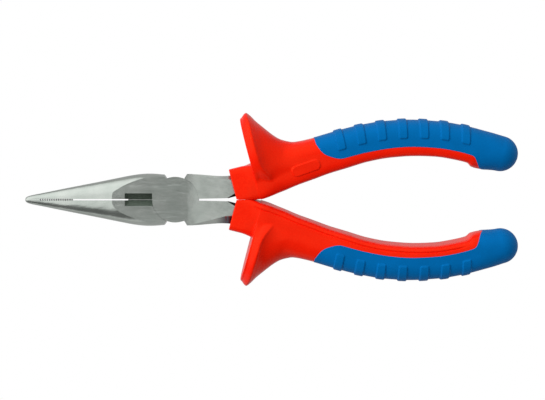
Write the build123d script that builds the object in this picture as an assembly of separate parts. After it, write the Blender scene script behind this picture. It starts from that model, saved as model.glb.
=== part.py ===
from build123d import *
import math
import os

# Needle nose pliers, closed. Lengths in millimetres, angles in degrees.
# The pivot axis is Z, the jaws point to -X and the handles to +X. Everything is
# modelled about the middle plane of the head and raised at the end, so that the
# lower ground face of the joint lies on Z = 0. One half has the +Y jaw, the upper
# hub disc and the -Y handle. The other half is the same half turned over about X.

# Head
HEAD_HALF = 4.5
HUB_RADIUS = 7.35
HUB_CLEARANCE = 0.06
LAP_CLEARANCE = 0.02
FACE_CLEARANCE = 0.02
SHOULDER_OUT = (3.95, 8.6)
SHOULDER_IN = (2.85, 6.7)

# Nose: distance from the pivot, half width and half height of the rounded section.
# The sections past the head are taller than the head, which is ground flat.
NOSE_SECTIONS = (
    (48.70, 0.34, 0.50),
    (48.40, 0.80, 0.90),
    (47.70, 1.16, 1.20),
    (45.10, 1.78, 1.52),
    (37.30, 3.35, 2.50),
    (27.00, 5.38, 3.72),
    (20.30, 6.72, 4.50),
    (15.40, 7.70, 5.10),
    (12.00, 8.24, 5.60),
    (9.00, 8.46, 6.20),
    (5.50, 8.34, 7.00),
    (2.00, 8.10, 7.80),
)
NOSE_FULLNESS = 2.9
TIP_FULLNESS = 2.2
TIP_DISTANCE = 49.0
FULLNESS_RUN = 12.0
# Directions from the middle of the parting line in which a section's points lie
SECTION_ANGLES = (-90, -72, -52, -30, 0, 30, 52, 72, 90)

# Jaw faces, as distances from the pivot
TEETH_START = 43.9
TEETH_END = 33.6
TOOTH_COUNT = 14
TOOTH_DEPTH = 0.34
RELIEF_END = 15.4
RELIEF_DEPTH = 0.21

# Cutter
POCKET_START = 16.2
POCKET_END = 7.4
LOWER_POCKET_END = 6.15
POCKET_HALF = 2.05
EDGE_LAND_HALF = 0.12
OVERSHOOT = 1.1

# Steel handle: its outer and inner edges seen from above, drawn on the +Y side, and
# half its height at distances from the pivot
TANG_SHOULDER_OUT = (3.85, 8.27)
TANG_SHOULDER_IN = (2.9, 6.78)
TANG_OUTER_ROOT = ((8.0, 8.1), (13.2, 7.67), (17.1, 7.7))
TANG_OUTER_COVERED = ((25.0, 9.7), (45.0, 15.9), (62.0, 20.6), (76.0, 22.0), (90.0, 20.2))
TANG_INNER_COVERED = ((90.0, 16.0), (76.0, 17.6), (62.0, 16.0), (45.0, 11.0), (26.0, 3.2))
SLOT_ROOT = (6.9, 0.28)
SLOT_END = (17.0, 0.5)
SLOT_FLARE = (19.6, 1.15)
GROUND_END = 4.0
TANG_SIDE = ((8.0, 4.28), (17.0, 3.72), (45.0, 3.0), (92.0, 2.3))
TANG_END_SLOPE = -0.015
# How fast each face of the steel handle falls between the joint and the sleeve
TANG_FALL = 0.066

# Bevels along the outer edge of the steel handle: distance from the pivot, where the
# edge lies there, and the share of the bevel's full width
BEVEL_PLACES = ((5.5, 8.1, 0.02), (16.5, 7.7, 1.0), (30.0, 7.7, 1.0))
UPPER_BEVEL = 2.4
LOWER_BEVEL = 1.1
BEVEL_SLOPE = 0.8
BEVEL_REACH = 4.0
# How far above a face the cuts through it start
CUT_RISE = 0.5

# Bevels along the inner edge where the handles part, given the same way
THROAT_PLACES = ((16.8, 0.5, 0.03), (21.0, 1.6, 1.0))
THROAT_BEVEL = 1.5
THROAT_SLOPE = 2.0
THROAT_REACH = 2.0

# Rivet, ground flush with both faces
RIVET_RADIUS = 3.0
RIVET_HEAD_RADIUS = 3.9
RIVET_HEAD_DEPTH = 1.1
RIVET_CLEARANCE = 0.03

# Handle mouldings. Behind the collar, both are turned by CANT about their own length.
CANT = 8.0
COLLAR_CENTRE = (18.8, 4.85)
COLLAR_ANGLE = 14.8
COLLAR_INNER = 6.3
COLLAR_OUTER = 5.25
COLLAR_HALF = 5.8
COLLAR_CORNER = 1.2
COLLAR_LENGTH = 7.6
CLOSING_FACE = 0.1

# Guard and neck, along the collar's axis: distance from the collar's mouth, how far
# the section reaches outwards and inwards from that axis, its half height, and how far
# the cant raises its middle.
GUARD_SECTIONS = (
    (7.2, 19.5, 6.1, 7.3, 1.04),
    (9.8, 21.5, 6.2, 8.9, 1.13),
    (12.2, 18.1, 6.25, 7.8, 0.81),
    (15.2, 13.8, 6.0, 6.5, 0.45),
    (18.4, 10.1, 5.7, 5.8, 0.15),
    (21.9, 8.4, 5.4, 5.5, 0.0),
    (26.0, 8.15, 5.15, 5.5, 0.0),
    (31.0, 8.15, 4.6, 5.62, 0.0),
)

# Curved grip: centre of each section, direction of the handle there, half width and
# half height. The last one is the centre of the rounded end.
GRIP_SECTIONS = (
    (53.2, 16.00, 16.8, 6.20, 5.9),
    (61.0, 18.15, 12.3, 6.00, 6.05),
    (68.7, 19.45, 6.5, 5.92, 6.15),
    (76.5, 19.90, 0.3, 5.82, 6.2),
    (84.3, 19.55, -6.4, 5.70, 6.15),
    (92.0, 18.30, -11.8, 5.70, 6.0),
    (99.8, 16.25, -14.4, 5.75, 5.85),
    (105.15, 14.95, -13.5, 5.65, 5.70),
)
SLEEVE_FULLNESS = 2.6
END_RADIUS = 5.65
GRIP_THICKNESS = 1.6

# Edge of the soft grip on the face of the handle, and where it wraps the end
GRIP_EDGE = (
    (44.9, 20.5),
    (45.0, 18.5),
    (46.6, 16.3),
    (48.6, 14.85),
    (54.0, 13.9),
    (64.0, 16.35),
    (73.5, 17.6),
    (87.7, 16.8),
    (96.0, 14.8),
    (98.3, 10.0),
)

# Ribs on the soft grip: distance from the pivot where each one crosses the middle of
# the handle, and its lean
RIBS = ((53.6, 12.0), (60.1, 9.5), (66.6, 6.0), (73.3, 2.4), (80.1, 1.0), (86.8, 0.0), (93.5, -2.0))
RIB_WIDTH = 2.6
RIB_HEIGHT = 0.4
RIB_START = 0.65
# Centre of the neck in front of the first rib
NECK_PLACE = (45.0, 13.3)

# Raised blank label pad on one face of each handle
PAD_CENTRE = (42.1, 10.2)
PAD_ANGLE = 19.0
PAD_LENGTH = 9.4
PAD_WIDTH = 3.3
PAD_CORNER = 1.5
PAD_HEIGHT = 0.35

# Points round a section of a moulding
MOULDING_POINTS = 12
# Further than a moulding reaches from its own centre line
REACH = 20.0
# Further than anything reaches from the pivot
BIG = 200.0
# Plane square to the tool's length, drawn with Y across and Z up
ACROSS = Plane(origin=(0, 0, 0), x_dir=(0, 1, 0), z_dir=(1, 0, 0))


def slab(x_low, x_high, y_low, y_high, z_low, z_high):
    """Block between the given limits."""
    size = (x_high - x_low, y_high - y_low, z_high - z_low)
    middle = ((x_low + x_high) / 2, (y_low + y_high) / 2, (z_low + z_high) / 2)
    return Pos(*middle) * Box(*size)


def prism(outline, z_low, z_high):
    """Straight-sided block over a closed outline seen from above."""
    face = Pos(0, 0, z_low) * make_face(outline)
    return extrude(face, amount=z_high - z_low, dir=(0, 0, 1))


def turned_over(shape):
    """The same shape turned half a turn about the tool's length."""
    return Rot(180, 0, 0) * shape


def rounded_point(angle, half_width, half_height, fullness):
    """Point of a section between an ellipse and a rectangle, at an angle round it."""
    across = math.cos(math.radians(angle))
    up = math.sin(math.radians(angle))
    return (
        half_width * math.copysign(abs(across) ** (2 / fullness), across),
        half_height * math.copysign(abs(up) ** (2 / fullness), up),
    )


def jaw_section(distance, half_width, half_height):
    """Half-moon section of one jaw, flat on the parting plane."""
    share = min(1.0, (TIP_DISTANCE - distance) / FULLNESS_RUN)
    fullness = TIP_FULLNESS + (NOSE_FULLNESS - TIP_FULLNESS) * share
    points = [rounded_point(a, half_width, half_height, fullness) for a in SECTION_ANGLES]
    curve = Spline(points, tangents=[(1, 0), (-1, 0)])
    plane = Plane(origin=(-distance, 0, 0), x_dir=(0, 1, 0), z_dir=(1, 0, 0))
    return plane * make_face(curve + Line(points[-1], points[0]))


def nose():
    """Rounded +Y jaw before its inner face is cut, ground flat on the head."""
    body = loft([jaw_section(*section) for section in NOSE_SECTIONS])
    return body & slab(-BIG, BIG, -1, BIG, -HEAD_HALF, HEAD_HALF)


def shoulder_cut():
    """Space behind the jaw's shoulder, next to the hub."""
    out_x, out_y = SHOULDER_OUT
    in_x, in_y = SHOULDER_IN
    front = ((-out_x, BIG), (-out_x, out_y), (-in_x, in_y), (0, 0))
    outline = Polyline(*front, (BIG, 0), (BIG, BIG), close=True)
    return prism(outline, -BIG, BIG)


def teeth_and_relief():
    """Everything taken off the jaw's inner face in front of the cutter."""
    pitch = (TEETH_START - TEETH_END) / TOOTH_COUNT
    face = [(-BIG, FACE_CLEARANCE), (-TEETH_START, FACE_CLEARANCE)]
    for tooth in range(TOOTH_COUNT):
        start = -TEETH_START + tooth * pitch
        face.append((start + pitch / 2, FACE_CLEARANCE + TOOTH_DEPTH))
        face.append((start + pitch, FACE_CLEARANCE))
    face.append((-TEETH_END, RELIEF_DEPTH))
    face.append((-RELIEF_END, RELIEF_DEPTH))
    face.append((-RELIEF_END, FACE_CLEARANCE))
    face.append((BIG, FACE_CLEARANCE))
    outline = Polyline(*face, (BIG, -BIG), (-BIG, -BIG), close=True)
    return prism(outline, -BIG, BIG)


def pocket():
    """Opening over the cutting edge, which lies in the middle plane."""
    plane = Plane(origin=(-POCKET_START, 0, 0), x_dir=(0, 1, 0), z_dir=(1, 0, 0))
    rise = HEAD_HALF * OVERSHOOT
    reach = POCKET_HALF * OVERSHOOT
    cuts = []
    for side, end in ((1, POCKET_END), (-1, LOWER_POCKET_END)):
        land = side * EDGE_LAND_HALF
        top = side * rise
        outline = Polyline((-1, land), (FACE_CLEARANCE, land), (reach, top), (-1, top), close=True)
        cuts.append(extrude(plane * make_face(outline), amount=POCKET_START - end))
    return cuts[0] + cuts[1]


def tang_outline():
    """Steel handle seen from above, drawn on the +Y side."""
    root = Polyline(TANG_SHOULDER_IN, TANG_SHOULDER_OUT)
    outer = Spline(TANG_SHOULDER_OUT, *TANG_OUTER_ROOT, *TANG_OUTER_COVERED)
    end = Line(TANG_OUTER_COVERED[-1], TANG_INNER_COVERED[0])
    inner = Spline(*TANG_INNER_COVERED, SLOT_FLARE)
    slot = Polyline(SLOT_FLARE, SLOT_END, SLOT_ROOT, TANG_SHOULDER_IN)
    return root + outer + end + inner + slot


def tang_face(distance):
    """Height of the steel handle's face above the middle plane behind the joint."""
    return HEAD_HALF - TANG_FALL * (distance - GROUND_END)


def wedge(distance, corners):
    """Cross-section of a bevel at a distance from the pivot."""
    plane = Plane(origin=(distance, 0, 0), x_dir=(0, 1, 0), z_dir=(1, 0, 0))
    return plane * make_face(Polyline(*corners, close=True))


def tang_bevel(full_width, side):
    """Wedge taken off the outer edge of the +Y steel handle, above or below."""
    wedges = []
    for distance, edge, share in BEVEL_PLACES:
        width = share * full_width
        face = tang_face(distance)
        top = face + CUT_RISE
        inside = edge - width - CUT_RISE / BEVEL_SLOPE
        outside = edge + BEVEL_REACH
        bottom = face - BEVEL_SLOPE * (width + BEVEL_REACH)
        corners = ((inside, side * top), (outside, side * top), (outside, side * bottom))
        wedges.append(wedge(distance, corners))
    return loft(wedges, ruled=True)


def throat_bevel(side):
    """Wedge taken off the inner edge of the +Y steel handle where the handles part."""
    wedges = []
    for distance, edge, share in THROAT_PLACES:
        width = share * THROAT_BEVEL
        face = tang_face(distance)
        top = face + CUT_RISE
        inside = edge + width + CUT_RISE / THROAT_SLOPE
        outside = edge - THROAT_REACH
        bottom = face - THROAT_SLOPE * (width + THROAT_REACH)
        corners = ((inside, side * top), (outside, side * top), (outside, side * bottom))
        wedges.append(wedge(distance, corners))
    return loft(wedges, ruled=True)


def side_profile():
    """Side view of the joint and steel handle: flat on the joint, thinner behind it."""
    tangents = [(1, 0), (1, TANG_END_SLOPE)]
    upper = Spline((GROUND_END, HEAD_HALF), *TANG_SIDE, tangents=tangents)
    lower = mirror(upper, Plane.XZ)
    end_x, end_z = TANG_SIDE[-1]
    end = Line((end_x, end_z), (end_x, -end_z))
    head = Polyline(
        (GROUND_END, HEAD_HALF),
        (-BIG, HEAD_HALF),
        (-BIG, -HEAD_HALF),
        (GROUND_END, -HEAD_HALF),
    )
    plane = Plane(origin=(0, BIG / 2, 0), x_dir=(1, 0, 0), z_dir=(0, -1, 0))
    return extrude(plane * make_face(upper + lower + head + end), amount=BIG)


def forged_half():
    """Forging with the +Y jaw, the upper hub disc and the -Y handle."""
    relief = Cylinder(HUB_RADIUS + HUB_CLEARANCE, BIG)
    lower_relief = relief & slab(-BIG, BIG, -BIG, BIG, -BIG, LAP_CLEARANCE)
    jaw = nose() - shoulder_cut() - teeth_and_relief() - pocket() - lower_relief
    tang = prism(tang_outline(), -HEAD_HALF, HEAD_HALF)
    for width, side in ((UPPER_BEVEL, -1), (LOWER_BEVEL, 1)):
        tang -= tang_bevel(width, side)
        tang -= throat_bevel(side)
    tang = turned_over(tang) - lower_relief
    hub_height = HEAD_HALF - LAP_CLEARANCE
    hub = Pos(0, 0, LAP_CLEARANCE + hub_height / 2) * Cylinder(HUB_RADIUS, hub_height)
    half = (jaw + hub + tang) & side_profile()
    return half - rivet_solid(0)


def rivet_solid(clearance):
    """Rivet with a countersunk head at each end, or the hole for it."""
    radius = RIVET_RADIUS + clearance
    head = RIVET_HEAD_RADIUS + clearance
    shank_half = HEAD_HALF - RIVET_HEAD_DEPTH
    outline = Polyline(
        (0, -HEAD_HALF),
        (head, -HEAD_HALF),
        (radius, -shank_half),
        (radius, shank_half),
        (head, HEAD_HALF),
        (0, HEAD_HALF),
        close=True,
    )
    return revolve(Plane.XZ * make_face(outline), Axis.Z)


def moulding_section(centre, direction, half_width, half_height):
    """Rounded section of a handle moulding, square to the handle and turned by CANT."""
    step = 360 / MOULDING_POINTS
    angles = [step * (index + 0.5) for index in range(MOULDING_POINTS)]
    points = [rounded_point(a, half_width, half_height, SLEEVE_FULLNESS) for a in angles]
    section = ACROSS * make_face(Spline(*points, periodic=True))
    return Pos(*centre) * Rot(0, 0, direction) * Rot(CANT, 0, 0) * section


def along_collar(distance, outwards):
    """Point at a distance from the collar's mouth and off its axis, seen from above."""
    turn = math.radians(COLLAR_ANGLE)
    return (
        COLLAR_CENTRE[0] + distance * math.cos(turn) - outwards * math.sin(turn),
        COLLAR_CENTRE[1] + distance * math.sin(turn) + outwards * math.cos(turn),
    )


def handle_surface(grow):
    """Outer body of guard, neck, grip and rounded end, grown or shrunk all round."""
    sections = []
    for distance, outwards, inwards, half_height, rise in GUARD_SECTIONS:
        centre = along_collar(distance, (outwards - inwards) / 2)
        half_width = (outwards + inwards) / 2
        sections.append(((*centre, rise), COLLAR_ANGLE, half_width, half_height))
    for x, y, direction, half_width, half_height in GRIP_SECTIONS:
        sections.append(((x, y, 0), direction, half_width, half_height))
    faces = [moulding_section(c, d, w + grow, h + grow) for c, d, w, h in sections]
    end_x, end_y = GRIP_SECTIONS[-1][:2]
    return loft(faces) + Pos(end_x, end_y, 0) * Sphere(END_RADIUS + grow)


def collar():
    """Square-cornered mouth of the sleeve, in front of the guard."""
    width = COLLAR_OUTER + COLLAR_INNER
    outline = RectangleRounded(width, 2 * COLLAR_HALF, COLLAR_CORNER)
    shift = Pos((COLLAR_OUTER - COLLAR_INNER) / 2, 0)
    block = extrude(ACROSS * (shift * outline), amount=COLLAR_LENGTH)
    return Pos(*COLLAR_CENTRE, 0) * Rot(0, 0, COLLAR_ANGLE) * block


def grip_region():
    """Space over the part of the handle that the soft grip covers."""
    first, last = GRIP_EDGE[0], GRIP_EDGE[-1]
    edge = Spline(*GRIP_EDGE)
    around = Polyline(
        last,
        (last[0], -BIG),
        (BIG, -BIG),
        (BIG, BIG),
        (first[0], BIG),
        first,
    )
    lean = (0, -math.sin(math.radians(CANT)), math.cos(math.radians(CANT)))
    return extrude(make_face(edge + around), amount=REACH, dir=lean, both=True)


def label_pad():
    """Blank raised pad on the face of the sleeve."""
    outline = RectangleRounded(PAD_LENGTH, PAD_WIDTH, PAD_CORNER)
    placed = Pos(*PAD_CENTRE) * Rot(0, 0, PAD_ANGLE) * outline
    column = extrude(placed, amount=REACH, dir=(0, 0, 1))
    return handle_surface(PAD_HEIGHT) & column


def ribs():
    """Raised bands over the outer side of the soft grip."""
    bands = Part()
    for position, lean in RIBS:
        band = slab(-RIB_WIDTH / 2, RIB_WIDTH / 2, RIB_START, REACH, -REACH, REACH)
        bands += Pos(*grip_centre(position), 0) * Rot(0, 0, lean) * Rot(CANT, 0, 0) * band
    return handle_surface(RIB_HEIGHT) & bands


def grip_centre(x):
    """Middle of the handle at a distance from the pivot, seen from above."""
    path = [NECK_PLACE] + [section[:2] for section in GRIP_SECTIONS]
    for (x0, y0), (x1, y1) in zip(path, path[1:]):
        if x <= x1:
            return x, y0 + (y1 - y0) * (x - x0) / (x1 - x0)
    raise ValueError("no handle at %s" % x)


def moulded_handle(tang):
    """Hard sleeve and soft grip of the +Y handle, fitted over its steel."""
    surface = handle_surface(0)
    core = handle_surface(-GRIP_THICKNESS)
    region = grip_region()
    shell = (surface + ribs()) & region
    grip = shell - core
    sleeve = (surface - region) + (core & region)
    sleeve = sleeve + collar() + label_pad()
    sleeve -= slab(-BIG, BIG, -BIG, CLOSING_FACE, -BIG, BIG)
    sleeve -= tang
    return sleeve, grip


def write(shape, name):
    """Writes one piece, raised so that the lower joint face is at Z = 0."""
    export_step(Pos(0, 0, HEAD_HALF) * shape, "parts/" + name + ".step")


def main():
    os.makedirs("parts", exist_ok=True)
    rivet_half = forged_half()
    moving_half = turned_over(rivet_half) - rivet_solid(RIVET_CLEARANCE)
    sleeve, grip = moulded_handle(moving_half)
    write(rivet_half, "upper_jaw_half")
    write(moving_half, "lower_jaw_half")
    write(rivet_solid(0), "pivot_rivet")
    write(turned_over(sleeve), "lower_handle_sleeve")
    write(turned_over(grip), "lower_handle_grip")
    write(sleeve, "upper_handle_sleeve")
    write(grip, "upper_handle_grip")


main()
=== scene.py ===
import math

import bmesh
import bpy
import numpy as np
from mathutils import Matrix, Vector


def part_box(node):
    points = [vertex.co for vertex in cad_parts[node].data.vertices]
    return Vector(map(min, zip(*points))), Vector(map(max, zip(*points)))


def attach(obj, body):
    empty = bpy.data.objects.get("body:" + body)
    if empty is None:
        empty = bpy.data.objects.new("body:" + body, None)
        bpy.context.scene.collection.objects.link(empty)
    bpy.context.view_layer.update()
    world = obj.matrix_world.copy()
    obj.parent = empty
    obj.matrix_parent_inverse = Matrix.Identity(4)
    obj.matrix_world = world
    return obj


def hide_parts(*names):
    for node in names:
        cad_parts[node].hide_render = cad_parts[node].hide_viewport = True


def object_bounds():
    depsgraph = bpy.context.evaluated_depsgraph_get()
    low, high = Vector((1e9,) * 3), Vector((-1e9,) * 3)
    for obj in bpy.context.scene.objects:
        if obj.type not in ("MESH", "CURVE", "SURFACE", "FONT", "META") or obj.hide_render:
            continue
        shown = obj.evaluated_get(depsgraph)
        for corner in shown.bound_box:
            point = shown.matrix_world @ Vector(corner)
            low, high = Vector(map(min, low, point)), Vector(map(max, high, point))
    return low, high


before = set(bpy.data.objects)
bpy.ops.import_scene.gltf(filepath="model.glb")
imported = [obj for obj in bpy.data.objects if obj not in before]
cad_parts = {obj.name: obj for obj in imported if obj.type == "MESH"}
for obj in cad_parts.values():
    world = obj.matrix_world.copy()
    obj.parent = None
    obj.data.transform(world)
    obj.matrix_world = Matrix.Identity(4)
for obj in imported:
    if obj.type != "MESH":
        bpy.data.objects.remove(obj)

cad_low, cad_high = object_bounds()

# Needle nose pliers on a white table. The CAD nodes are in metres. The handle
# mouldings are worked out in millimetres about the tool's middle plane, as the +Y
# handle, and the -Y handle is the same piece turned over about the tool's length.
MM = 0.001
MIDDLE_PLANE = sum(corner.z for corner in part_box("pivot_rivet")) / 2

# Camera, looking straight down on the tool
VIEW_WIDTH = 0.1765
VIEW_CENTRE = (0.0313, -0.0001)
LENS = 120.0
SENSOR = 36.0

# From here to the mesh's steps, lengths are in millimetres. Angles are in radians. A
# pair is a span, such as the places between which something starts.

# Both handle mouldings are turned a little about their own length, behind the collar.
CANT = math.radians(8.0)
CANT_START = (3.5, 8.5)

# Collar: where its axis starts, seen from above, and the axis's direction. Distances
# from the mouth are measured along that axis. CLOSING_FACE is how far each handle stays
# from the plane where the two close.
COLLAR_CENTRE = (18.8, 4.85)
COLLAR_ANGLE = math.radians(14.8)
CLOSING_FACE = 0.01
MOUTH = -0.3
MOUTH_ROUND = 0.35

# Body of the sleeve along the collar's axis: distance from the mouth, reach outwards
# and inwards from the axis, half height, and fullness from 2, an ellipse, upwards
SLEEVE_STATIONS = (
    (-0.3, 5.15, 6.3, 5.80, 8.0),
    (7.2, 5.15, 6.3, 5.80, 8.0),
    (9.8, 5.6, 6.25, 5.85, 6.0),
    (13.0, 6.7, 6.1, 5.80, 4.2),
    (17.0, 7.85, 5.8, 5.62, 3.2),
    (21.9, 8.2, 5.3, 5.50, 2.8),
    (26.0, 8.1, 4.95, 5.50, 2.7),
    (31.0, 8.1, 4.45, 5.62, 2.6),
)

# Curved part of the handle: centre, direction in degrees, half width, half height
GRIP_STATIONS = (
    (53.2, 16.00, 16.8, 6.25, 5.9),
    (61.0, 18.15, 12.3, 6.05, 6.05),
    (68.7, 19.45, 6.5, 5.97, 6.15),
    (76.5, 19.90, 0.3, 5.87, 6.2),
    (84.3, 19.55, -6.4, 5.75, 6.15),
    (92.0, 18.30, -11.8, 5.75, 6.0),
    (99.8, 16.25, -14.4, 5.78, 5.85),
    (105.0, 14.95, -13.5, 5.62, 5.62),
)
GRIP_FULLNESS = 2.6
END_FULLNESS = 2.0
SECTION_BLEND = 0.8
# The side towards the other handle is squarer along the sleeve.
INNER_FULLNESS = 5.0
INNER_SQUARE_START = (12.0, 22.0)
INNER_SQUARE_STOP = (94.0, 99.0)
INNER_TRIM = 0.4

# Guard: distance from the mouth, reach outwards and inwards from the collar's axis, and
# half height of its elliptical outline
GUARD_STATIONS = (
    (7.2, 19.6, 4.6, 7.4),
    (9.8, 21.55, 4.6, 8.9),
    (10.8, 20.47, 4.6, 8.15),
    (12.2, 18.1, 4.6, 7.25),
    (13.65, 16.05, 4.5, 6.65),
    (15.2, 13.9, 4.5, 6.2),
    (16.6, 12.1, 4.5, 5.9),
    (18.2, 10.5, 4.4, 5.6),
    (20.0, 9.4, 4.3, 5.4),
    (22.0, 8.5, 4.2, 5.2),
    (24.5, 7.9, 4.1, 5.0),
    (28.0, 7.0, 4.0, 4.6),
)
GUARD_OUTLINE_BLEND = 0.1
GUARD_FACE = 7.45
GUARD_END = 28.0
GUARD_ROUND = 0.6
GUARD_ROOT = 0.4
GUARD_BLEND = 0.6
GUARD_LIP = 0.16
LIP_START = (7.1, 7.6)
LIP_STOP = (9.5, 13.5)
# The guard leans forwards on the upper face. Its crest runs back towards the neck: how
# far, and between which directions round the handle.
GUARD_LEAN = 0.056
LEAN_START = (2.0, 6.0)
LEAN_STOP = (13.0, 24.0)
CREST_BOW = (0.3, math.radians(3), math.radians(20))
CREST_SWEEP = (2.4, math.radians(50), math.radians(105))
CREST_START = (GUARD_FACE, GUARD_FACE + 2.0)

# Thicker end of the sleeve, on its inner side: places along the tool's length
CAP_STEP = 0.75
CAP_RISE = (95.3, 97.2)
CAP_FALL = (98.0, 105.0)

# Groove along the lower face, near the inner side, with a raised strip beside it. It
# starts at distances from the mouth, and stops at places along the tool's length.
GROOVE_INSET = 1.75
GROOVE_DEPTH = 0.35
GROOVE_HALF = 0.22
GROOVE_START = (5.2, 6.4)
GROOVE_STOP = (91.5, 94.5)
STRIP_HEIGHT = 0.07
STRIP_START = (GROOVE_HALF, 3 * GROOVE_HALF)
STRIP_STOP = (2.0, 4.0)

# Edge of the soft grip seen from above, from the outer side to the inner one
GRIP_EDGE = (
    (45.0, 18.5),
    (46.6, 16.3),
    (48.6, 14.85),
    (54.0, 13.9),
    (64.0, 16.35),
    (73.5, 17.6),
    (87.7, 16.8),
    (95.7, 14.8),
    (98.3, 10.3),
)
GRIP_STAND = 0.12
GRIP_ROUND = 0.28
GRIP_DEPTH = 0.55
# Seat for the grip in the sleeve: its depth, and the width of the slope into it
SEAT_DEPTH = 0.62
SEAT_SLOPE = 0.4
# Radius that turns an angle round the handle into a length
MEAN_RADIUS = 6.0

# Ribs on the soft grip: distance from the pivot at which each one crosses the middle of
# the handle, its lean in degrees, and the ribs' shape
RIBS = (
    (53.6, 12.0),
    (60.1, 9.5),
    (66.6, 6.0),
    (73.3, 2.4),
    (80.1, 1.0),
    (86.8, 0.0),
    (93.5, -2.0),
)
RIB_HALF = 1.3
RIB_HEIGHT = 0.42
RIB_FLANK = 0.5
RIB_START = 0.65
RIB_CORNER = 0.5

# Blank raised label pad on the upper face
PAD_CENTRE = (42.1, 10.2)
PAD_ANGLE = math.radians(19.0)
PAD_HALF = (4.7, 1.65)
PAD_CORNER = 1.5
PAD_HEIGHT = 0.32
PAD_FLANK = 0.45

# Opening in the mouth of the collar that the steel handle goes into
SOCKET_CENTRE = (19.0, 4.15)
SOCKET_HALF = (3.75, 3.75)
SOCKET_FULLNESS = 8.0
SOCKET_DEPTH = 2.5
SOCKET_ROUND = 0.15

# Mesh: steps of the section table, and numbers of points. The sleeve's are crowded at
# the groove, and lie on its outer and its inner side. The grip's are crowded at its
# edges. The curve of the grip's edge has points along its sides and across its front.
SECTION_STEP = 0.05
SLEEVE_OUTER_POINTS = 96
SLEEVE_INNER_POINTS = 56
SLEEVE_CROWDING = 0.6
GRIP_POINTS = 150
GRIP_CROWDING = 0.65
GRIP_CROWDING_POWER = 1.35
GRIP_END_ROWS = 26
EDGE_SIDE_POINTS = 360
EDGE_FRONT_POINTS = 40
# Points whose distance to the grip's edge is worked out at a time
BATCH = 2000

# Marks on the steel. Each line gives what is measured, where the mark starts to show
# and where it is full. x is metres behind the pivot, side is metres off the tool's
# middle, and level is 1 on the flat faces and 0 on upright walls.
THROAT_MARK = (
    ("level", 0.97, 0.9),
    ("x", 0.0164, 0.0172),
    ("side", 0.0032, 0.0026),
)
# Painted shade on the side walls by the collars: full on the -Y handle, which faces away from the
# light, and a smaller share on the +Y one
COLLAR_SHADE_MARK = (
    ("level", 0.97, 0.9),
    ("side", 0.005, 0.0056),
)
COLLAR_SHADE_X = (0.0125, 0.0172)
# Painted shade on the upright walls of the tooth recesses
TEETH_SHADE_MARK = (
    ("side", 0.00037, 0.0003699),
    ("side", 0.00003, 0.00016),
    ("x", -0.0333, -0.0335),
    ("x", -0.0441, -0.0439),
    ("level", 0.3, 0.2),
)
CUTTER_MARK = (
    ("side", 0.00215, 0.0021),
    ("x", -0.0163, -0.0161),
    ("x", -0.0059, -0.0061),
    ("level", 0.98, 0.95),
)
COLLAR_SHADE_SHARE = 0.85
COLLAR_SHADE_UPPER_SHARE = 0.35
CUTTER_SHARE = 0.15

# Colours: one plain one and two tones that noise mixes for each material, and the marks
# on the steel
STEEL_COLOR = (0.6, 0.63, 0.6)
RED_COLOR = (0.92, 0.01, 0.002)
BLUE_COLOR = (0.0, 0.13, 0.45)
STEEL_TONES = ((0.47, 0.52, 0.48), (0.57, 0.61, 0.57))
STEEL_LINE = (0.66, 0.68, 0.65)
THROAT_COLOR = (0.006, 0.008, 0.007)
# Painted shade on the side walls by the collars
COLLAR_SHADE_COLOR = (0.035, 0.045, 0.085)
# Painted shade in the tooth recesses
TEETH_SHADE_COLOR = (0.02, 0.023, 0.021)
CUTTER_COLOR = (0.05, 0.06, 0.05)
RED_TONES = ((0.88, 0.008, 0.001), (0.96, 0.013, 0.002))
BLUE_TONES = ((0.0, 0.125, 0.375), (0.0, 0.138, 0.42))

# Studio, in metres. The table gives the tool some light, and the lens side overhead is
# dark. LIGHT_UP, LIGHT_ACROSS and LIGHT_SIDE say how bright the surroundings are by the
# Z, X and Y part of a direction, as pairs of that part and the brightness. A band on the
# -Y side is darker.
TABLE_HALF = 3.0
TABLE_GLOW = 0.5
LENS_TILT = math.radians(4.0)
LENS_INNER = math.radians(4.0)
LENS_OUTER = math.radians(9.0)
LIGHT_UP = ((0.0, 0.75), (0.6, 1.0))
LIGHT_ACROSS = ((-0.8, 1.38), (0.8, 0.52))
LIGHT_SIDE = ((-0.6, 0.8), (0.6, 1.15))
BAND_NEAR = (-0.26, -0.42)
BAND_FAR = (-0.84, -0.94)
BAND_LIGHT = 0.18
LAMP_PLACE = (-0.55, 0.2, 0.6)
LAMP_AIM = (0.03, 0, 0)
LAMP_SIZE = 0.4
LAMP_POWER = 3.5


# ---------------------------------------------------------------- curves

def shape_keeping(places, values, at):
    """Cubic through the values that doesn't overshoot between them."""
    places, values = np.asarray(places, float), np.asarray(values, float)
    gap = np.diff(places)
    slope = np.diff(values) / gap
    tangent = np.concatenate(([slope[0]], np.zeros(len(places) - 2), [slope[-1]]))
    for i in range(1, len(places) - 1):
        if slope[i - 1] * slope[i] > 0:
            before = 2 * gap[i] + gap[i - 1]
            after = gap[i] + 2 * gap[i - 1]
            tangent[i] = (before + after) / (before / slope[i - 1] + after / slope[i])
    i = np.clip(np.searchsorted(places, at, "right") - 1, 0, len(places) - 2)
    t = (at - places[i]) / gap[i]
    start = (1 + 2 * t) * (1 - t) ** 2 * values[i] + t * (1 - t) ** 2 * gap[i] * tangent[i]
    end = t * t * (3 - 2 * t) * values[i + 1] + t * t * (t - 1) * gap[i] * tangent[i + 1]
    return start + end


def softened(values, width):
    """Values at steps of SECTION_STEP, averaged over a width in millimetres."""
    reach = int(3 * width / SECTION_STEP)
    offsets = np.arange(-reach, reach + 1) * SECTION_STEP
    weights = np.exp(-0.5 * (offsets / width) ** 2)
    before = 2 * values[0] - values[reach:0:-1]
    after = 2 * values[-1] - values[-2:-reach - 2:-1]
    padded = np.concatenate((before, values, after))
    return np.convolve(padded, weights / weights.sum(), "valid")


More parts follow.
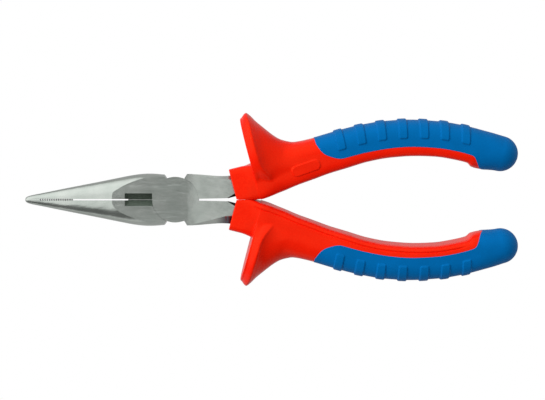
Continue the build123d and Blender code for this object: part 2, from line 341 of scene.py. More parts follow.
def ramp(value, start, end):
    """0 before start, 1 after end, and a smooth rise between."""
    t = np.clip((value - start) / (end - start), 0, 1)
    return t * t * (3 - 2 * t)


def wrapped(angle):
    """The same direction as an angle from minus half a turn to half a turn."""
    return (angle + math.pi) % (2 * math.pi) - math.pi


def smooth_max(a, b, blend):
    """The larger of two radii, with the crease between them filled in."""
    share = np.maximum(blend - np.abs(a - b), 0) / blend
    return np.maximum(a, b) + share ** 2 * blend / 4


def rounded_box(across, along, half_across, half_along, corner):
    """Distance outside a rectangle with rounded corners, negative inside it."""
    x = np.abs(across) - half_across + corner
    y = np.abs(along) - half_along + corner
    outside = np.hypot(np.maximum(x, 0), np.maximum(y, 0))
    return outside + np.minimum(np.maximum(x, y), 0) - corner


# ---------------------------------------------------------------- handle path

def collar_point(distance, outwards):
    """Point seen from above, at a distance from the mouth and off the collar's axis."""
    return (
        COLLAR_CENTRE[0] + distance * math.cos(COLLAR_ANGLE) - outwards * math.sin(COLLAR_ANGLE),
        COLLAR_CENTRE[1] + distance * math.sin(COLLAR_ANGLE) + outwards * math.cos(COLLAR_ANGLE),
    )


def handle_table():
    """Section of the handle at close steps along it, and its length."""
    rows = []
    for distance, outwards, inwards, half_height, fullness in SLEEVE_STATIONS:
        x, y = collar_point(distance, (outwards - inwards) / 2)
        half_width = (outwards + inwards) / 2
        rows.append((distance, x, y, COLLAR_ANGLE, half_width, half_height, fullness))
    for x, y, direction, half_width, half_height in GRIP_STATIONS:
        along = rows[-1][0] + math.hypot(x - rows[-1][1], y - rows[-1][2])
        last = (x, y) == GRIP_STATIONS[-1][:2]
        fullness = END_FULLNESS if last else GRIP_FULLNESS
        rows.append((along, x, y, math.radians(direction), half_width, half_height, fullness))
    stations = np.array(rows)
    length = stations[-1, 0]
    along = np.arange(MOUTH, length + SECTION_STEP / 2, SECTION_STEP)
    names = ("x", "y", "direction", "half_width", "half_height", "fullness")
    table = {"along": along}
    for column, name in enumerate(names, 1):
        values = shape_keeping(stations[:, 0], stations[:, column], along)
        table[name] = softened(values, SECTION_BLEND)
    return table, length


SECTIONS, LENGTH = handle_table()


def at(name, along):
    """Value of one column of SECTIONS at distances along the handle."""
    return np.interp(along, SECTIONS["along"], SECTIONS[name])


def along_at_x(x):
    """Distance along the handle at a distance from the pivot."""
    return float(np.interp(x, SECTIONS["x"], SECTIONS["along"]))


def along_and_off(point):
    """Distance along the handle and off its centre line of a point seen from above."""
    forward_x, forward_y = np.cos(SECTIONS["direction"]), np.sin(SECTIONS["direction"])
    dx, dy = point[0] - SECTIONS["x"], point[1] - SECTIONS["y"]
    nearest = np.argmin(np.abs(dx * forward_x + dy * forward_y))
    off = dy[nearest] * forward_x[nearest] - dx[nearest] * forward_y[nearest]
    return SECTIONS["along"][nearest], off


def guard_table():
    """Guard's outline at the steps of SECTIONS: centre off the handle's, and half sizes."""
    places = np.array(GUARD_STATIONS)
    outwards, inwards, height = (
        softened(
            shape_keeping(places[:, 0], places[:, column], SECTIONS["along"]),
            GUARD_OUTLINE_BLEND,
        )
        for column in (1, 2, 3)
    )
    dx, dy = SECTIONS["x"] - COLLAR_CENTRE[0], SECTIONS["y"] - COLLAR_CENTRE[1]
    handle_off = dy * math.cos(COLLAR_ANGLE) - dx * math.sin(COLLAR_ANGLE)
    return (outwards - inwards) / 2 - handle_off, (outwards + inwards) / 2, height


GUARD_CENTRE, GUARD_HALF_WIDTH, GUARD_HALF_HEIGHT = guard_table()


# ---------------------------------------------------------------- handle section

def inner_square(along):
    """Share of the squarer inner side at distances along the handle."""
    return ramp(along, *INNER_SQUARE_START) * (1 - ramp(at("x", along), *INNER_SQUARE_STOP))


def inner_half_width(along):
    """Reach of the section towards the other handle, with the thicker end."""
    x = at("x", along)
    rise = ramp(x, *CAP_RISE) * (1 - ramp(x, *CAP_FALL))
    return at("half_width", along) + CAP_STEP * rise - INNER_TRIM * inner_square(along)


def side_fullness(along, inner):
    """Fullness of the section on its outer or inner side."""
    fullness = at("fullness", along)
    squarer = np.maximum(INNER_FULLNESS - fullness, 0) * inner_square(along)
    return fullness + np.where(inner, squarer, 0)


def body_radius(along, angle):
    """Reach of the handle's body from its centre line in a direction round it."""
    fullness = side_fullness(along, np.cos(angle) < 0)
    width = np.where(np.cos(angle) > 0, at("half_width", along), inner_half_width(along))
    across = np.abs(np.cos(angle)) / width
    up = np.abs(np.sin(angle)) / at("half_height", along)
    return (across ** fullness + up ** fullness) ** (-1 / fullness)


def guard_radius(along, angle):
    """Reach of the guard's ellipse from the handle's centre line."""
    turn = np.abs(wrapped(angle))
    behind = sum(length * ramp(turn, *span) for length, *span in (CREST_BOW, CREST_SWEEP))
    clipped = np.clip(along - behind * ramp(along, *CREST_START), GUARD_FACE, GUARD_END)
    centre = np.interp(clipped, SECTIONS["along"], GUARD_CENTRE)
    width = np.interp(clipped, SECTIONS["along"], GUARD_HALF_WIDTH)
    height = np.interp(clipped, SECTIONS["along"], GUARD_HALF_HEIGHT)
    across, up = np.cos(angle), np.sin(angle)
    square = (across / width) ** 2 + (up / height) ** 2
    middle = across * centre / width ** 2
    rest = (centre / width) ** 2 - 1
    return (middle + np.sqrt(np.maximum(middle ** 2 - square * rest, 0))) / square


def with_guard(along, angle):
    """Reach of the body and the guard together."""
    lip = GUARD_LIP * ramp(along, *LIP_START) * (1 - ramp(along, *LIP_STOP))
    guard = np.where(along < GUARD_END, guard_radius(along, angle), 0)
    return smooth_max(body_radius(along, angle) + lip, guard, GUARD_BLEND)


def face_angle(along, off):
    """Direction of the point of the upper face that is off the centre line by off."""
    fullness = side_fullness(along, off < 0)
    width = np.where(off > 0, at("half_width", along), inner_half_width(along))
    share = np.clip(1 - np.abs(off / width) ** fullness, 0, 1)
    return np.arctan2(at("half_height", along) * share ** (1 / fullness), off)


def cant(along):
    """Turn of the section about the handle's length."""
    return CANT * ramp(along, *CANT_START)


def closing_limit(along, angle):
    """Reach at which a direction meets the plane where the two handles close."""
    fall = np.cos(at("direction", along)) * np.cos(angle + cant(along))
    room = at("y", along) - CLOSING_FACE
    return np.where(fall < -1e-3, room / np.maximum(-fall, 1e-3), np.inf)


def placed(along, angle, radius):
    """Points in millimetres at directions round the handle and reaches from it."""
    off = radius * np.cos(angle + cant(along))
    up = radius * np.sin(angle + cant(along))
    direction = at("direction", along)
    lean = GUARD_LEAN * up * ramp(along, *LEAN_START) * (1 - ramp(along, *LEAN_STOP))
    x = at("x", along) - off * np.sin(direction) - lean * np.cos(direction)
    y = at("y", along) + off * np.cos(direction) - lean * np.sin(direction)
    return np.stack((x, y, up), -1)


# ---------------------------------------------------------------- soft grip edge

def grip_edge_curve():
    """The grip's edge as distances along the handle and directions round it."""
    along, angle = [], []
    for point in GRIP_EDGE:
        place, off = along_and_off(point)
        along.append(place)
        angle.append(float(face_angle(place, off)))
    along.append(along[-1] + 1.0)
    angle.append(math.pi)
    steps = np.hypot(np.diff(along), MEAN_RADIUS * np.diff(angle))
    travel = np.concatenate(([0], np.cumsum(steps)))
    fine = np.linspace(0, travel[-1], EDGE_SIDE_POINTS)
    along = shape_keeping(travel, along, fine)
    angle = shape_keeping(travel, angle, fine)
    return np.maximum.accumulate(along), angle


EDGE_ALONG, EDGE_ANGLE = grip_edge_curve()
GRIP_FRONT = EDGE_ALONG[0]
GRIP_CLOSED = EDGE_ALONG[-1]


def edge_points():
    """The grip's whole edge as points: across the outer side and back along both faces."""
    front = np.linspace(-EDGE_ANGLE[0], EDGE_ANGLE[0], EDGE_FRONT_POINTS)
    along = np.concatenate((EDGE_ALONG[::-1], np.full_like(front, GRIP_FRONT), EDGE_ALONG))
    angle = np.concatenate((-EDGE_ANGLE[::-1], front, EDGE_ANGLE))
    return placed(along, angle, body_radius(along, angle))


EDGE_POINTS = edge_points()


def distance_to_edge(points):
    """Distance of points on the handle from the grip's edge."""
    flat = points.reshape(-1, 3)
    starts, ends = EDGE_POINTS[:-1], EDGE_POINTS[1:]
    span = ends - starts
    square = np.maximum((span ** 2).sum(1), 1e-12)
    nearest = np.empty(len(flat))
    for first in range(0, len(flat), BATCH):
        part = flat[first:first + BATCH, None, :] - starts[None]
        share = np.clip((part * span).sum(2) / square, 0, 1)
        gap = part - share[..., None] * span
        nearest[first:first + BATCH] = np.sqrt((gap ** 2).sum(2).min(1))
    return nearest.reshape(points.shape[:-1])


def under_grip(along, angle):
    """Whether places on the handle lie inside the grip's edge."""
    limit = np.interp(along, EDGE_ALONG, EDGE_ANGLE)
    return (along > GRIP_FRONT) & ((np.abs(wrapped(angle)) < limit) | (along > GRIP_CLOSED))


# ---------------------------------------------------------------- sleeve

def groove_height(along, angle, radius):
    """Depth of the groove in the lower face, with a slightly raised strip beside it."""
    line = face_angle(along, GROOVE_INSET - inner_half_width(along))
    gap = (-angle - line) * radius
    x = at("x", along)
    share = ramp(along, *GROOVE_START) * (1 - ramp(x, *GROOVE_STOP))
    groove = -GROOVE_DEPTH * np.exp(-(gap / GROOVE_HALF) ** 4)
    strip = STRIP_HEIGHT * ramp(gap, *STRIP_START) * (1 - ramp(gap, *STRIP_STOP))
    return np.where(angle < 0, share * (groove + strip), 0)


def pad_height(points):
    """Height of the label pad over the sleeve's upper face."""
    dx, dy = points[..., 0] - PAD_CENTRE[0], points[..., 1] - PAD_CENTRE[1]
    along = dx * math.cos(PAD_ANGLE) + dy * math.sin(PAD_ANGLE)
    across = dy * math.cos(PAD_ANGLE) - dx * math.sin(PAD_ANGLE)
    outside = rounded_box(along, across, *PAD_HALF, PAD_CORNER)
    rise = ramp(-outside, -PAD_FLANK / 2, PAD_FLANK / 2)
    return np.where(points[..., 2] > 0, PAD_HEIGHT * rise, 0)


def sleeve_columns(along):
    """Directions round the sleeve, close together at the groove's place on both faces."""
    line = face_angle(along, GROOVE_INSET - inner_half_width(along))
    t = np.linspace(0, 1, SLEEVE_OUTER_POINTS, endpoint=False)
    first = line * (t + SLEEVE_CROWDING * np.sin(math.pi * t) / math.pi)
    t = np.linspace(0, 1, SLEEVE_INNER_POINTS + 1)
    second = line + (math.pi - line) * (t - SLEEVE_CROWDING * np.sin(math.pi * t) / math.pi)
    half = np.concatenate((first, second))
    return np.concatenate((half, -half[-2:0:-1]))


def spaced(*spans):
    """Places along the handle, from spans of (start, end, spacing)."""
    places = []
    for start, end, spacing in spans:
        count = max(1, round((end - start) / spacing))
        places.extend(np.linspace(start, end, count, endpoint=False))
    return np.array(places)


def quarter_turns(count):
    """Angles of a rounded edge's rows, from its start to its end."""
    return np.linspace(0, math.pi / 2, count)


def socket_radius(angle):
    """Reach of the socket's outline from the handle's centre line at the mouth."""
    centre_off = along_and_off(SOCKET_CENTRE)[1]
    fine = np.linspace(-math.pi, math.pi, 1441)
    across = np.abs(np.cos(fine)) / SOCKET_HALF[0]
    up = np.abs(np.sin(fine)) / SOCKET_HALF[1]
    reach = (across ** SOCKET_FULLNESS + up ** SOCKET_FULLNESS) ** (-1 / SOCKET_FULLNESS)
    x, y = centre_off + reach * np.cos(fine), reach * np.sin(fine)
    turn = np.unwrap(np.arctan2(y, x))
    return np.interp(wrapped(angle), turn, np.hypot(x, y))


def sleeve_mesh():
    """Hard sleeve: socket, collar, guard, neck, and a seat under the soft grip."""
    rows = []

    def add(along, angle, radius):
        along = np.broadcast_to(along, angle.shape)
        limited = np.minimum(radius, closing_limit(along, angle))
        rows.append((along, angle, limited))

    # Socket, from its floor to its rounded edge, and the mouth's flat and rounded rim
    angle = sleeve_columns(MOUTH)
    mouth = np.minimum(body_radius(MOUTH, angle), closing_limit(MOUTH, angle))
    socket = np.minimum(socket_radius(angle), mouth - 3 * MOUTH_ROUND)
    for depth in (SOCKET_DEPTH, 1.2, 2 * SOCKET_ROUND):
        add(MOUTH + depth, angle, socket)
    for turn in quarter_turns(4):
        sunk = SOCKET_ROUND * (1 - math.sin(turn))
        add(MOUTH + sunk, angle, socket + SOCKET_ROUND * (1 - math.cos(turn)))
    flat_start, flat_end = socket + SOCKET_ROUND, mouth - MOUTH_ROUND
    for share in (0.3, 0.7, 1.0):
        add(MOUTH, angle, flat_start + share * (flat_end - flat_start))
    for turn in quarter_turns(7)[1:]:
        sunk = MOUTH_ROUND * (1 - math.sin(turn))
        add(MOUTH + MOUTH_ROUND * (1 - math.cos(turn)), angle, mouth - sunk)

    for along in spaced((0.3, GUARD_FACE - GUARD_ROOT, 0.4)):
        angle = sleeve_columns(along)
        add(along, angle, body_radius(along, angle) + groove_height(along, angle, MEAN_RADIUS))

    # Front face of the guard, rising from the collar to its rounded rim
    angle = sleeve_columns(GUARD_FACE)
    foot = body_radius(GUARD_FACE, angle)
    rim = with_guard(GUARD_FACE + GUARD_ROUND, angle)
    rise = np.maximum(rim - foot, 0)
    fit = np.minimum(1, rise / (GUARD_ROOT + GUARD_ROUND))
    groove = groove_height(GUARD_FACE, angle, MEAN_RADIUS)
    root, edge = GUARD_ROOT * fit, GUARD_ROUND * fit
    for turn in quarter_turns(6):
        lift = root * (1 - math.cos(turn))
        add(GUARD_FACE - root * (1 - math.sin(turn)), angle, foot + lift + groove)
    for share in (0.12, 0.3, 0.5, 0.7, 0.88):
        add(GUARD_FACE, angle, foot + root + share * (rise - root - edge) + groove)
    for turn in quarter_turns(8):
        sunk = edge * (1 - math.sin(turn))
        add(GUARD_FACE + edge * (1 - math.cos(turn)), angle, rim - sunk + groove)

    # Guard, neck and the strip beside the grip
    places = spaced(
        (GUARD_FACE + GUARD_ROUND + 0.05, 9.2, 0.16),
        (9.2, 13.5, 0.09),
        (13.5, 14.0, 0.16),
        (14.0, 32.0, 0.22),
        (32.0, along_at_x(93.0), 0.33),
        (along_at_x(93.0), GRIP_CLOSED + 1.5, 0.15),
    )
    for along in places:
        angle = sleeve_columns(along)
        radius = with_guard(along, angle)
        radius = radius + groove_height(along, angle, radius)
        points = placed(np.broadcast_to(along, angle.shape), angle, radius)
        radius = radius + pad_height(points)
        if along > GRIP_FRONT:
            covered = under_grip(along, angle)
            gap = distance_to_edge(points[covered])
            radius[covered] -= SEAT_DEPTH * ramp(gap, GRIP_ROUND, GRIP_ROUND + SEAT_SLOPE)
        add(along, angle, radius)
    return ring_mesh(rows, (MOUTH + SOCKET_DEPTH, places[-1]))


def ring_mesh(rows, end_places):
    """Points and faces of a closed tube through rings of the same number of points."""
    along = np.stack([row[0] for row in rows])
    angle = np.stack([row[1] for row in rows])
    radius = np.stack([row[2] for row in rows])
    points = placed(along, angle, radius).reshape(-1, 3)
    count_rows, count = along.shape
    faces = []
    for row in range(count_rows - 1):
        for column in range(count):
            beside = (column + 1) % count
            faces.append((
                row * count + column,
                row * count + beside,
                (row + 1) * count + beside,
                (row + 1) * count + column,
            ))
    ends = placed(np.array(end_places), np.zeros(2), np.zeros(2))
    first, last = len(points), len(points) + 1
    final = (count_rows - 1) * count
    for column in range(count):
        beside = (column + 1) % count
        faces.append((first, beside, column))
        faces.append((last, final + column, final + beside))
    return np.concatenate((points, ends)), faces


# ---------------------------------------------------------------- soft grip

def rib_height(along, off):
    """Height of the ribs at places along the handle and off its centre line."""
    height = np.zeros_like(off)
    for place, lean in RIBS:
        middle = along_at_x(place)
        turn = math.radians(lean) - float(at("direction", middle))
        gap = (along - middle) * math.cos(turn) + off * math.sin(turn)
        flank = np.abs(gap) - RIB_HALF
        inner = RIB_START - off
        corner = np.hypot(flank + RIB_CORNER, inner + RIB_CORNER) - RIB_CORNER
        rounded = (flank > -RIB_CORNER) & (inner > -RIB_CORNER)
        outside = np.where(rounded, corner, np.maximum(flank, inner))
        height = np.maximum(height, RIB_HEIGHT * ramp(-outside, -RIB_FLANK / 2, RIB_FLANK / 2))
    return height


def grip_rows():
    """Distances along the handle for the grip's rows, close at its edges and ribs."""
    front = (0, 0.02, 0.05, 0.1, 0.16, 0.24, 0.35, 0.5, 0.7, 1.0, 1.4, 1.8)
    places = [GRIP_FRONT + gap for gap in front]
    here = places[-1]
    ribs = [along_at_x(place) for place, _ in RIBS]
    while here < GRIP_CLOSED - 1.2:
        near = min(abs(abs(here - rib) - RIB_HALF) for rib in ribs)
        here += 0.1 if near < 1.1 else 0.3
        places.append(here)
    for gap in (1.0, 0.8, 0.62, 0.46, 0.33, 0.22, 0.13, 0.07, 0.03, 0.008, 0):
        if GRIP_CLOSED - gap > here + 0.02:
            places.append(GRIP_CLOSED - gap)
    places.extend(np.arange(GRIP_CLOSED + 0.05, LENGTH, 0.3))
    return np.array(places)


def grip_columns(limit):
    """Directions from one edge of the grip to the other, close together at both."""
    t = np.linspace(-1, 1, GRIP_POINTS)
    spread = np.sign(t) * (1 - (1 - np.abs(t)) ** GRIP_CROWDING_POWER)
    return limit * ((1 - GRIP_CROWDING) * t + GRIP_CROWDING * spread)


def grip_surface(inset):
    """Points of the grip's outer surface, or of the inner one that lies inset below it."""
    rows = []
    for along in grip_rows():
        closed = along >= GRIP_CLOSED
        angle = grip_columns(math.pi if closed else np.interp(along, EDGE_ALONG, EDGE_ANGLE))
        base = body_radius(along, angle)
        wide = np.broadcast_to(along, angle.shape)
        if inset:
            radius = base - inset
        else:
            edge = np.clip(distance_to_edge(placed(wide, angle, base)) / GRIP_ROUND, 0, 1)
            drop = GRIP_ROUND * (1 - np.sqrt(1 - (1 - edge) ** 2))
            radius = base + GRIP_STAND - drop + rib_height(along, base * np.cos(angle))
        rows.append(placed(wide, angle, radius))

    # Rounded end
    end_radius = at("half_height", LENGTH) + GRIP_STAND - inset
    direction = at("direction", LENGTH)
    forward = np.array((math.cos(direction), math.sin(direction), 0))
    angle = grip_columns(math.pi)
    for turn in quarter_turns(GRIP_END_ROWS)[1:-1]:
        ring = placed(LENGTH, angle, end_radius * math.cos(turn))
        rows.append(ring + end_radius * math.sin(turn) * forward)
    tip = placed(LENGTH, 0.0, 0.0) + end_radius * forward
    return np.stack(rows), tip


def grip_mesh():
    """Soft grip: a closed shell of even thickness over the outer side and the end."""
    outer, outer_tip = grip_surface(0)
    inner, inner_tip = grip_surface(GRIP_DEPTH)
    count_rows, count = outer.shape[:2]
    closed_row = int(np.searchsorted(grip_rows(), GRIP_CLOSED))
    points = np.concatenate((outer.reshape(-1, 3), inner.reshape(-1, 3), [outer_tip, inner_tip]))
    shift = count_rows * count
    faces = []
    for row in range(count_rows - 1):
        for column in range(count - 1):
            low = row * count + column
            high = low + count
            faces.append((low, low + 1, high + 1, high))
            faces.append((shift + low, shift + high, shift + high + 1, shift + low + 1))
    for column in range(count - 1):
        faces.append((column, shift + column, shift + column + 1, column + 1))
        last = (count_rows - 1) * count + column
        faces.append((last, last + 1, 2 * shift))
        faces.append((shift + last + 1, shift + last, 2 * shift + 1))
    for row in range(closed_row):
        for column, flip in ((0, False), (count - 1, True)):
            low = row * count + column
            high = low + count
            rim = (low, high, shift + high, shift + low)
            faces.append(rim[::-1] if flip else rim)
    return points, faces


# ---------------------------------------------------------------- pieces

def piece_from(name, points, faces, turned_over):
    """Object of a moulding, as the +Y handle or turned over as the -Y one."""
    points = np.array(points)
    if turned_over:
        points = points * (1, -1, -1)
    points = points * MM + (0, 0, MIDDLE_PLANE)
    mesh = bpy.data.meshes.new(name)
    mesh.from_pydata(points.tolist(), [], faces)
    shape = bmesh.new()
    shape.from_mesh(mesh)
    bmesh.ops.remove_doubles(shape, verts=shape.verts, dist=1e-7)
    bmesh.ops.dissolve_degenerate(shape, edges=shape.edges, dist=1e-7)
    bmesh.ops.recalc_face_normals(shape, faces=shape.faces)
    shape.to_mesh(mesh)
    shape.free()
    mesh.polygons.foreach_set("use_smooth", [True] * len(mesh.polygons))
    obj = bpy.data.objects.new(name, mesh)
    bpy.context.scene.collection.objects.link(obj)
    return obj


# ---------------------------------------------------------------- materials

def new_material(name, color, roughness):
    """Material with its main shader's plain values set."""
    material = bpy.data.materials.new(name)
    material.use_nodes = True
    shader = material.node_tree.nodes["Principled BSDF"]
    shader.inputs["Base Color"].default_value = (*color, 1)
    shader.inputs["Roughness"].default_value = roughness
    return material, material.node_tree, shader


def node(tree, kind, **values):
    """New node with some of its settings or inputs given."""
    made = tree.nodes.new(kind)
    for key, value in values.items():
        if hasattr(made, key):
            setattr(made, key, value)
        else:
            made.inputs[key.replace("_", " ")].default_value = value
    return made


def stretched(tree, scale):
    """Object coordinates stretched by a factor along each axis."""
    coords = node(tree, "ShaderNodeTexCoord")
    mapping = node(tree, "ShaderNodeMapping", Scale=scale)
    tree.links.new(coords.outputs["Object"], mapping.inputs["Vector"])
    return mapping.outputs["Vector"]


def noise(tree, scale, detail=3.0, stretch=(1, 1, 1)):
    """Noise over the object, with features about 1/scale metres wide."""
    texture = node(tree, "ShaderNodeTexNoise", Scale=scale, Detail=detail)
    tree.links.new(stretched(tree, stretch), texture.inputs["Vector"])
    return texture.outputs["Fac"]


def mapped(tree, value, low, high, out_low, out_high, smooth=False):
    """Value moved from one range to another."""
    kind = "SMOOTHSTEP" if smooth else "LINEAR"
    made = node(tree, "ShaderNodeMapRange", interpolation_type=kind)
    for index, number in ((1, low), (2, high), (3, out_low), (4, out_high)):
        made.inputs[index].default_value = number
    tree.links.new(value, made.inputs[0])
    return made.outputs[0]


def math_node(tree, operation, first, second):
    """One sum on two values, each a socket or a number."""
    made = node(tree, "ShaderNodeMath", operation=operation)
    for index, value in enumerate((first, second)):
        if isinstance(value, (int, float)):
            made.inputs[index].default_value = value
        else:
            tree.links.new(value, made.inputs[index])
    return made.outputs[0]


def mixed_color(tree, share, first, second):
    """Colour between two, each a socket or a colour, by a share."""
    made = node(tree, "ShaderNodeMix", data_type="RGBA")
    for index, value in ((6, first), (7, second)):
        if isinstance(value, tuple):
            made.inputs[index].default_value = (*value, 1)
        else:
            tree.links.new(value, made.inputs[index])
    tree.links.new(share, made.inputs[0])
    return made.outputs[2]


def bumped(tree, shader, height, distance, strength):
    """Fine relief on the surface, distance metres deep, over any that it already has."""
    bump = node(tree, "ShaderNodeBump", Strength=strength, Distance=distance)
    tree.links.new(height, bump.inputs["Height"])
    for link in shader.inputs["Normal"].links:
        tree.links.new(link.from_socket, bump.inputs["Normal"])
    tree.links.new(bump.outputs["Normal"], shader.inputs["Normal"])


def mask(tree, measures, marks):
    """Share of a mark on the surface, 1 where every measure is past its full place."""
    total = 1.0
    for name, start, full in marks:
        total = math_node(tree, "MULTIPLY", mapped(tree, measures[name], start, full, 0, 1), total)
    return total


def steel_material():
    """Ground and lightly polished steel, with fine marks along the tool."""
    material, tree, shader = new_material("ground_steel", STEEL_COLOR, 0.3)
    coords = node(tree, "ShaderNodeTexCoord")
    place = node(tree, "ShaderNodeSeparateXYZ")
    facing = node(tree, "ShaderNodeSeparateXYZ")
    tree.links.new(coords.outputs["Object"], place.inputs[0])
    tree.links.new(coords.outputs["Normal"], facing.inputs[0])
    measures = {
        "x": place.outputs["X"],
        "side": math_node(tree, "ABSOLUTE", place.outputs["Y"], 0),
        "level": math_node(tree, "ABSOLUTE", facing.outputs["Z"], 0),
    }

    # Bare steel, with lines from grinding
    lines = noise(tree, 9000, 2, (0.02, 1, 1))
    tone = mixed_color(tree, mapped(tree, noise(tree, 150, 2), 0.3, 0.7, 0, 1), *STEEL_TONES)
    tone = mixed_color(tree, mapped(tree, lines, 0.3, 0.7, 0, 0.15), tone, STEEL_LINE)

    # Black bevels between the handles, painted shade on the walls by the collars and in the
    # tooth recesses, and a darker tone on the cutter pocket's sloped faces
    throat = mask(tree, measures, THROAT_MARK)
    tone = mixed_color(tree, throat, tone, THROAT_COLOR)
    # Painted shade on the side walls by the collars, strongest on the -Y handle
    collar_shade = mask(tree, measures, COLLAR_SHADE_MARK)
    along = mapped(tree, place.outputs["X"], *COLLAR_SHADE_X, 0, COLLAR_SHADE_SHARE, True)
    across = mapped(tree, place.outputs["Y"], -0.001, 0.001, 1, COLLAR_SHADE_UPPER_SHARE)
    collar_shade = math_node(tree, "MULTIPLY", math_node(tree, "MULTIPLY", collar_shade, along), across)
    tone = mixed_color(tree, collar_shade, tone, COLLAR_SHADE_COLOR)
    # Painted shade in the tooth recesses
    teeth_shade = mask(tree, measures, TEETH_SHADE_MARK)
    tone = mixed_color(tree, teeth_shade, tone, TEETH_SHADE_COLOR)
    cutter = math_node(tree, "MULTIPLY", mask(tree, measures, CUTTER_MARK), CUTTER_SHARE)
    tone = mixed_color(tree, cutter, tone, CUTTER_COLOR)
    tree.links.new(tone, shader.inputs["Base Color"])

    # The black and the painted shade in the tooth recesses aren't metal, and are dull
    black_and_teeth_shade = math_node(tree, "MAXIMUM", teeth_shade, throat)
    rough = mapped(tree, noise(tree, 900, 3, (0.1, 1, 1)), 0.3, 0.7, 0.22, 0.255)
    tree.links.new(mapped(tree, black_and_teeth_shade, 0, 1, 1, 0), shader.inputs["Metallic"])
    tree.links.new(math_node(tree, "MAXIMUM", rough, black_and_teeth_shade), shader.inputs["Roughness"])

    # Slight waviness from polishing, under the ground lines
    bumped(tree, shader, noise(tree, 420, 2, (0.4, 1, 1)), 0.0001, 1.0)
    bumped(tree, shader, lines, 0.000003, 0.15)
    return material


def red_material():
    """Semi-gloss moulded plastic with faint flow marks and handling wear."""
    material, tree, shader = new_material("red_plastic", RED_COLOR, 0.3)
    shader.inputs["Specular Tint"].default_value = (1.0, 0.35, 0.12, 1)
    tone = mixed_color(tree, mapped(tree, noise(tree, 90, 4), 0.3, 0.7, 0, 1), *RED_TONES)
    tree.links.new(tone, shader.inputs["Base Color"])
    wear = mapped(tree, noise(tree, 700, 4), 0.35, 0.7, 0.24, 0.32)
    tree.links.new(wear, shader.inputs["Roughness"])
    bumped(tree, shader, noise(tree, 1500, 2), 0.00002, 0.12)
    return material


def blue_material():
    """Soft rubber with a fine moulded grain."""
    material, tree, shader = new_material("blue_rubber", BLUE_COLOR, 0.5)
    shader.inputs["Specular IOR Level"].default_value = 0.14
    shader.inputs["Specular Tint"].default_value = (0.15, 0.6, 1.0, 1)
    tone = mixed_color(tree, mapped(tree, noise(tree, 160, 4), 0.3, 0.7, 0, 1), *BLUE_TONES)
    tree.links.new(tone, shader.inputs["Base Color"])
    wear = mapped(tree, noise(tree, 1200, 4), 0.3, 0.7, 0.42, 0.56)
    tree.links.new(wear, shader.inputs["Roughness"])
    grain = node(tree, "ShaderNodeTexVoronoi", Scale=2600.0)
    tree.links.new(stretched(tree, (1, 1, 1)), grain.inputs["Vector"])
    bumped(tree, shader, grain.outputs["Distance"], 0.00004, 0.35)
    return material


def dress(obj, material):
    """Gives an object one material."""
    obj.data.materials.clear()
    obj.data.materials.append(material)


# ---------------------------------------------------------------- scene

def build_object():
    """Dresses the steel, and replaces the four mouldings with finer ones."""
    steel, red, blue = steel_material(), red_material(), blue_material()
    for name in ("upper_jaw_half", "lower_jaw_half", "pivot_rivet"):
        dress(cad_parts[name], steel)
    sleeve, grip = sleeve_mesh(), grip_mesh()
    for side, body, turned in (("upper", "moving_half", False), ("lower", "riveted_half", True)):
        for kind, shape, material, slot in (
            ("sleeve", sleeve, red, "red_sleeve"),
            ("grip", grip, blue, "blue_grip"),
        ):
            node_name = side + "_handle_" + kind
            moulding = piece_from(node_name + "_moulded", *shape, turned)
            dress(moulding, material)
            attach(moulding, body)
            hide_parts(node_name)


def build_table():
    """White table under the tool, which reads as pure white and lights it softly."""
    mesh = bpy.data.meshes.new("table")
    corners = [(TABLE_HALF * x, TABLE_HALF * y) for x, y in ((-1, -1), (1, -1), (1, 1), (-1, 1))]
    mesh.from_pydata([(x, y, cad_low.z) for x, y in corners], [], [(0, 1, 2, 3)])
    table = bpy.data.objects.new("table", mesh)
    bpy.context.scene.collection.objects.link(table)
    material, tree, shader = new_material("table_white", (0, 0, 0), 1.0)
    shader.inputs["Specular IOR Level"].default_value = 0.0
    shader.inputs["Emission Color"].default_value = (1, 1, 1, 1)
    path = node(tree, "ShaderNodeLightPath")
    seen = mapped(tree, path.outputs["Is Camera Ray"], 0, 1, TABLE_GLOW, 1.0)
    tree.links.new(seen, shader.inputs["Emission Strength"])

    # Clear from below, so that the tool shows there too
    geometry = node(tree, "ShaderNodeNewGeometry")
    clear = node(tree, "ShaderNodeBsdfTransparent")
    sides = node(tree, "ShaderNodeMixShader")
    tree.links.new(geometry.outputs["Backfacing"], sides.inputs[0])
    tree.links.new(shader.outputs[0], sides.inputs[1])
    tree.links.new(clear.outputs[0], sides.inputs[2])
    tree.links.new(sides.outputs[0], tree.nodes["Material Output"].inputs["Surface"])
    dress(table, material)


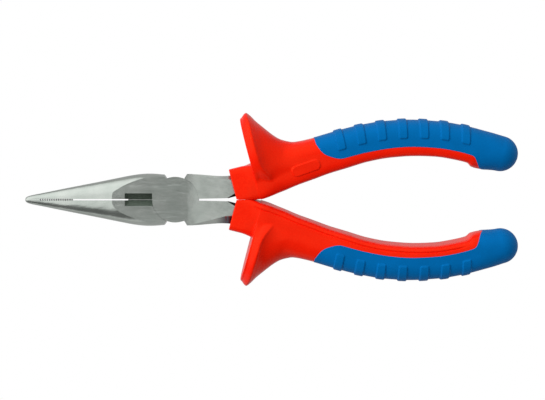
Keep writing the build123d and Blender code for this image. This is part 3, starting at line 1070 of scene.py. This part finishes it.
def build_world():
    """Soft studio surroundings, which read as pure white behind the tool."""
    world = bpy.data.worlds.new("studio")
    world.use_nodes = True
    bpy.context.scene.world = world
    tree = world.node_tree
    coords = node(tree, "ShaderNodeTexCoord")
    way = node(tree, "ShaderNodeSeparateXYZ")
    tree.links.new(coords.outputs["Generated"], way.inputs[0])
    across, side, up = way.outputs["X"], way.outputs["Y"], way.outputs["Z"]
    lens = node(tree, "ShaderNodeVectorMath", operation="DOT_PRODUCT")
    tree.links.new(coords.outputs["Generated"], lens.inputs[0])
    lens.inputs[1].default_value = (-math.sin(LENS_TILT), 0, math.cos(LENS_TILT))
    near_lens = lens.outputs["Value"]
    light = mapped(tree, near_lens, math.cos(LENS_OUTER), math.cos(LENS_INNER), 1, 0, True)
    for part, (low, high) in ((up, LIGHT_UP), (across, LIGHT_ACROSS), (side, LIGHT_SIDE)):
        gain = mapped(tree, part, low[0], high[0], low[1], high[1])
        light = math_node(tree, "MULTIPLY", light, gain)
    near = mapped(tree, side, *BAND_NEAR, 0, 1, True)
    far = mapped(tree, side, *BAND_FAR, 1, 0, True)
    band = math_node(tree, "MULTIPLY", near, far)
    light = math_node(tree, "MULTIPLY", light, mapped(tree, band, 0, 1, 1, BAND_LIGHT))

    # Pure white where the camera sees it
    path = node(tree, "ShaderNodeLightPath")
    light = math_node(tree, "MAXIMUM", light, path.outputs["Is Camera Ray"])
    background = tree.nodes["Background"]
    background.inputs["Strength"].default_value = 1.0
    tree.links.new(light, background.inputs["Color"])


def build_lamp():
    """Soft square lamp aimed at the tool, which doesn't show in its reflections."""
    data = bpy.data.lights.new("key_lamp", "AREA")
    data.shape = "SQUARE"
    data.size = LAMP_SIZE
    data.energy = LAMP_POWER
    lamp = bpy.data.objects.new("key_lamp", data)
    lamp.location = LAMP_PLACE
    lamp.visible_glossy = False
    aim = bpy.data.objects.new("key_lamp_aim", None)
    aim.location = LAMP_AIM
    bpy.context.scene.collection.objects.link(lamp)
    bpy.context.scene.collection.objects.link(aim)
    track = lamp.constraints.new("TRACK_TO")
    track.target = aim
    track.track_axis = "TRACK_NEGATIVE_Z"
    track.up_axis = "UP_Y"


def build_camera():
    """Camera that looks straight down on the middle of the tool."""
    data = bpy.data.cameras.new("camera")
    data.lens = LENS
    data.sensor_width = SENSOR
    camera = bpy.data.objects.new("camera", data)
    camera.location = (*VIEW_CENTRE, MIDDLE_PLANE + VIEW_WIDTH * LENS / SENSOR)
    bpy.context.scene.collection.objects.link(camera)
    bpy.context.scene.camera = camera
    bpy.context.scene.view_settings.view_transform = "Standard"


build_camera()
build_object()
build_table()
build_world()
build_lamp()
